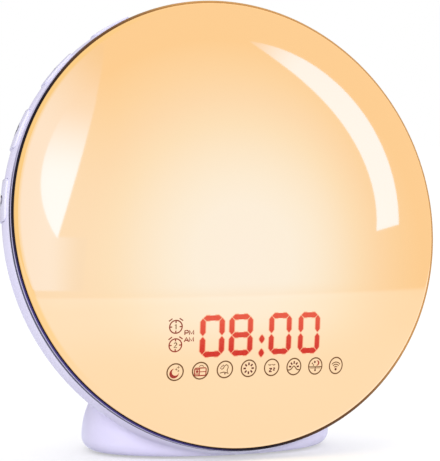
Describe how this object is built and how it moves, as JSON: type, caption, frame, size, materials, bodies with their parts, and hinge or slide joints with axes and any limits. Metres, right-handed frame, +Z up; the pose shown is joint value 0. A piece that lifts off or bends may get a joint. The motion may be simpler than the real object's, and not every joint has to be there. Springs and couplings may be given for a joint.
{
  "type": "sunrise alarm clock",
  "caption": "Round sunrise alarm clock: a glowing domed face with a digital display, on a tilted bowl-backed housing with rim buttons and a low foot.",
  "frame": {"origin": "on the table, in the middle of the clock's footprint box", "axes": "+Z up, the lit face looks towards -Y and a little upwards, +X to the right of someone who faces it"},
  "size_m": [0.175, 0.0924, 0.1732],
  "materials": {
    "black_plastic": "matte",
    "board": "satin",
    "brass": "polished",
    "button": "satin",
    "cable": "satin",
    "can": "satin",
    "chip": "matte",
    "diffuser": "gloss",
    "foam": "matte",
    "guide_amber": "gloss",
    "guide_red": "gloss",
    "led": "gloss",
    "light_board_white": "satin",
    "magnet": "satin",
    "paper": "matte",
    "ribbon": "satin",
    "rubber": "matte",
    "shell": "satin",
    "steel": "satin",
    "trim": "gloss",
    "white_plastic": "satin"
  },
  "bodies": {
    "body": {"base_plate": "shell", "base_screws": "steel", "board_screws": "steel", "capacitors": "can", "cell_contacts": "brass", "coin_cell": "steel", "dc_jack": "black_plastic", "dc_jack_pin": "brass", "digit_guides": "guide_red", "display_board": "board", "display_housing": "black_plastic", "display_ribbon": "ribbon", "front_diffuser": "diffuser", "icon_guides": "guide_amber", "key_board_left": "board", "key_board_right": "board", "key_board_top": "board", "key_switches": "chip", "light_board": "light_board_white", "light_chips": "led", "main_board": "board", "main_board_chips": "chip", "port_board": "board", "radio_board": "board", "radio_can": "can", "rear_shell": "shell", "reflector_frame": "white_plastic", "rubber_feet": "rubber", "shell_screws": "steel", "short_screws": "steel", "speaker_basket": "steel", "speaker_gasket": "foam", "speaker_magnet": "magnet", "speaker_surround": "foam", "trim_ring": "trim", "usb_shell": "steel", "usb_tongue": "black_plastic", "wire_sockets": "white_plastic", "wires": "cable"},
    "left_button_1": {"left_button_1": "button", "left_plunger_1": "black_plastic"},
    "right_button_1": {"right_button_1": "button", "right_plunger_1": "black_plastic"},
    "left_button_2": {"left_button_2": "button", "left_plunger_2": "black_plastic"},
    "right_button_2": {"right_button_2": "button", "right_plunger_2": "black_plastic"},
    "left_button_3": {"left_button_3": "button", "left_plunger_3": "black_plastic"},
    "right_button_3": {"right_button_3": "button", "right_plunger_3": "black_plastic"},
    "left_button_4": {"left_button_4": "button", "left_plunger_4": "black_plastic"},
    "right_button_4": {"right_button_4": "button", "right_plunger_4": "black_plastic"},
    "snooze_button": {"snooze_button": "button", "snooze_plunger": "black_plastic"},
    "battery_cover": {"battery_cover": "shell"},
    "speaker_cone": {"speaker_cone": "paper"}
  },
  "joints": [
    {"name": "left_button_1_press", "type": "slide", "parent": "body", "child": "left_button_1", "axis": [0.9914, -0.0249, -0.1281], "range_m": [0, 0.0006], "stiffness_N_per_m": 1800, "springref_m": -0.0002},
    {"name": "right_button_1_press", "type": "slide", "parent": "body", "child": "right_button_1", "axis": [-0.9914, -0.0249, -0.1281], "range_m": [0, 0.0006], "stiffness_N_per_m": 1800, "springref_m": -0.0002},
    {"name": "left_button_2_press", "type": "slide", "parent": "body", "child": "left_button_2", "axis": [0.8988, -0.0836, -0.4303], "range_m": [0, 0.0006], "stiffness_N_per_m": 1800, "springref_m": -0.0002},
    {"name": "right_button_2_press", "type": "slide", "parent": "body", "child": "right_button_2", "axis": [-0.8988, -0.0836, -0.4303], "range_m": [0, 0.0006], "stiffness_N_per_m": 1800, "springref_m": -0.0002},
    {"name": "left_button_3_press", "type": "slide", "parent": "body", "child": "left_button_3", "axis": [0.7133, -0.1337, -0.688], "range_m": [0, 0.0006], "stiffness_N_per_m": 1800, "springref_m": -0.0002},
    {"name": "right_button_3_press", "type": "slide", "parent": "body", "child": "right_button_3", "axis": [-0.7133, -0.1337, -0.688], "range_m": [0, 0.0006], "stiffness_N_per_m": 1800, "springref_m": -0.0002},
    {"name": "left_button_4_press", "type": "slide", "parent": "body", "child": "left_button_4", "axis": [0.454, -0.17, -0.8746], "range_m": [0, 0.0006], "stiffness_N_per_m": 1800, "springref_m": -0.0002},
    {"name": "right_button_4_press", "type": "slide", "parent": "body", "child": "right_button_4", "axis": [-0.454, -0.17, -0.8746], "range_m": [0, 0.0006], "stiffness_N_per_m": 1800, "springref_m": -0.0002},
    {"name": "snooze_button_press", "type": "slide", "parent": "body", "child": "snooze_button", "axis": [0, -0.1908, -0.9816], "range_m": [0, 0.0006], "stiffness_N_per_m": 1800, "springref_m": -0.0002},
    {"name": "battery_cover_turn", "type": "hinge", "parent": "body", "child": "battery_cover", "pos_m": [0, 0.00325, 0.0008], "axis": [0, 0, 1], "range_deg": [-60, 0]},
    {"name": "speaker_cone_travel", "type": "slide", "parent": "body", "child": "speaker_cone", "axis": [0, 0.9816, -0.1908], "range_m": [-0.0005, 0.0005], "stiffness_N_per_m": 1500}
  ]
}
